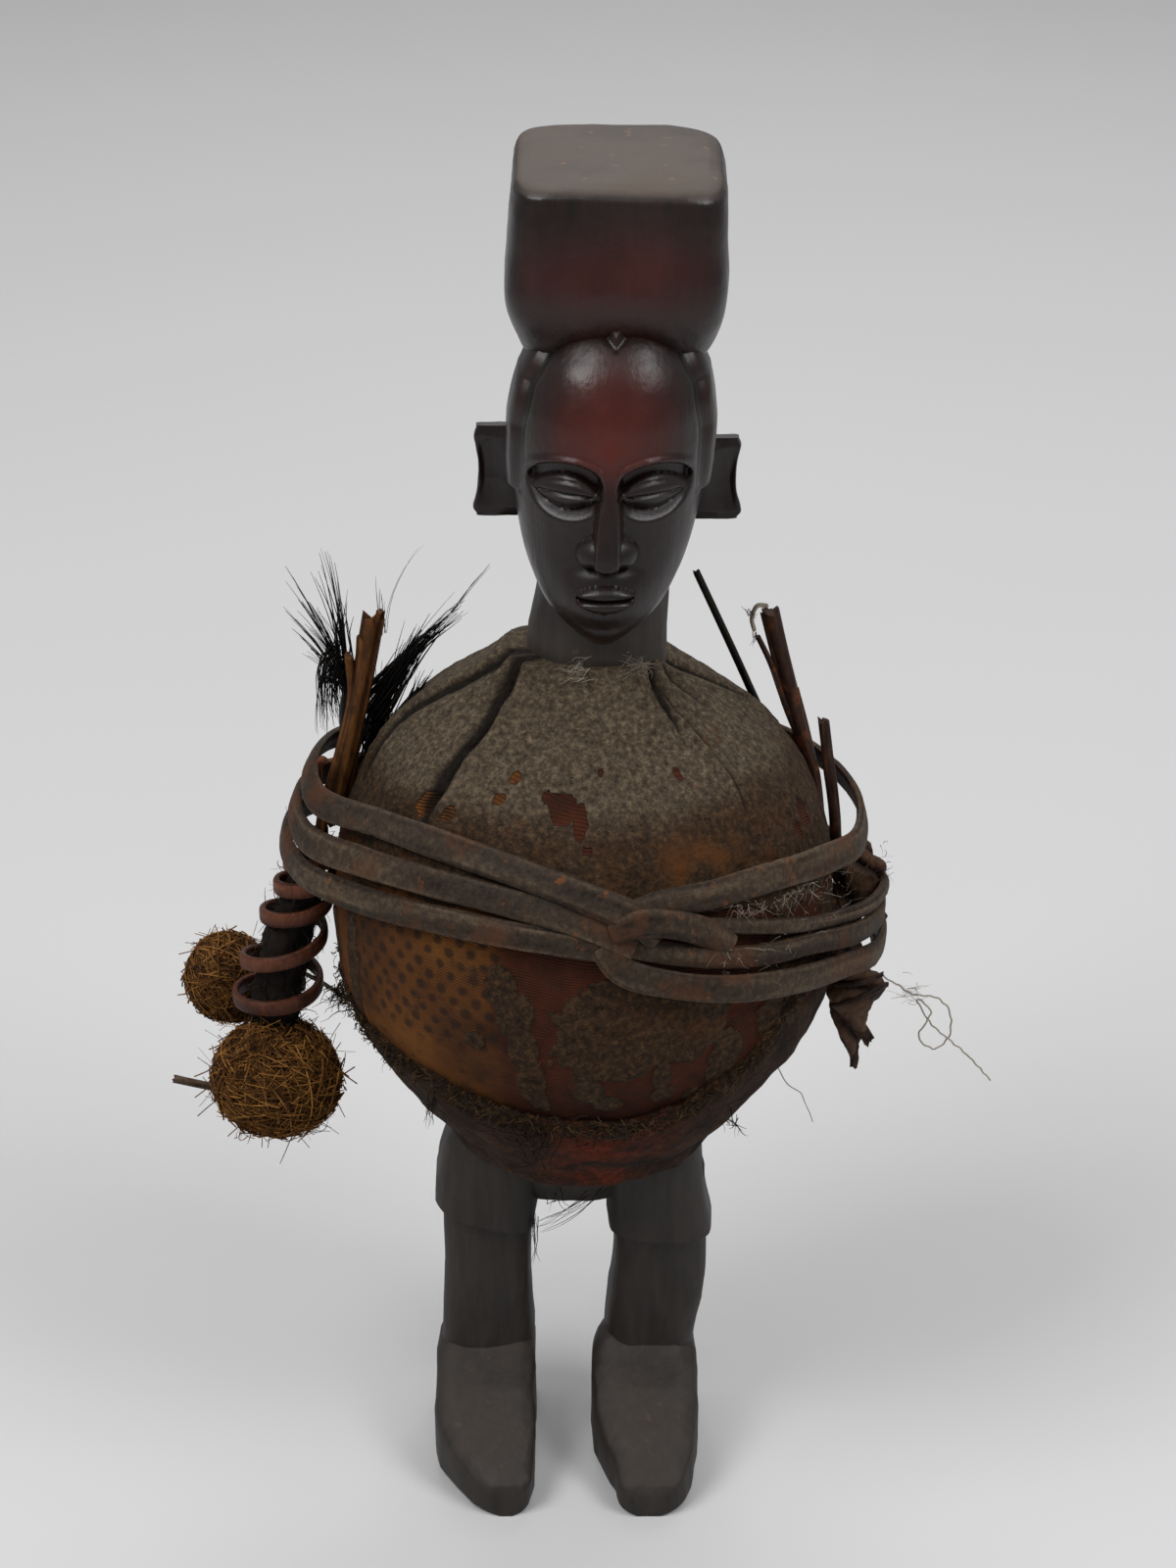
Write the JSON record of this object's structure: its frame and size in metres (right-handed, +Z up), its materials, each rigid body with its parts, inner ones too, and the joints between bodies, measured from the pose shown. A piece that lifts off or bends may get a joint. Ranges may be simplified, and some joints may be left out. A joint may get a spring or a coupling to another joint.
{
  "type": "power figure",
  "caption": "Standing carved wooden figure with a block coiffure, its trunk wrapped in a large cloth-bound ball that vine strips lash together with side packets of fibre, reed and leaf.",
  "frame": {"origin": "on the ground under the middle of the whole figure's outline", "axes": "+Z up along the figure, the face and toes look along -Y, +X to the viewer's right"},
  "size_m": [0.185, 0.1168, 0.31],
  "materials": {
    "carved_wood": "dark oiled patina, glossy on head and hair block, matt on legs",
    "crusted_cloth": "rust and ochre woven cloth under a grainy grey-brown crust",
    "torn_cloth": "stiff dirty brown cloth with a frayed edge",
    "split_vine": "grey-brown, satin, scuffed",
    "reed": "dry golden to dark brown",
    "black_fibre": "stiff black fibre",
    "packet_fibre": "dark matted leaf and hair",
    "cane": "reddish brown split cane, satin",
    "soft_fibre": "golden-brown fuzzy plant fibre",
    "dry_leaf": "dark twisted dry leaf",
    "twig": "dull brown twig",
    "pale_fibre": "pale loose fibre"
  },
  "bodies": {
    "root": {"carved_figure": "carved_wood", "cloth_ball": "crusted_cloth", "lower_cloth": "torn_cloth", "vine_lashing": "split_vine", "left_reeds": "reed", "left_hooked_reed": "reed", "left_fibre_tuft": "black_fibre", "left_packet_core": "packet_fibre", "cane_coil": "cane", "fibre_ball_lower": "soft_fibre", "fibre_ball_upper": "soft_fibre", "left_twig": "twig", "pale_twig": "twig", "right_reeds": "reed", "right_hooked_fibre": "reed", "right_black_stick": "twig", "right_short_stick": "twig", "leaf_packet": "dry_leaf", "loose_fibre": "pale_fibre"}
  },
  "joints": []
}
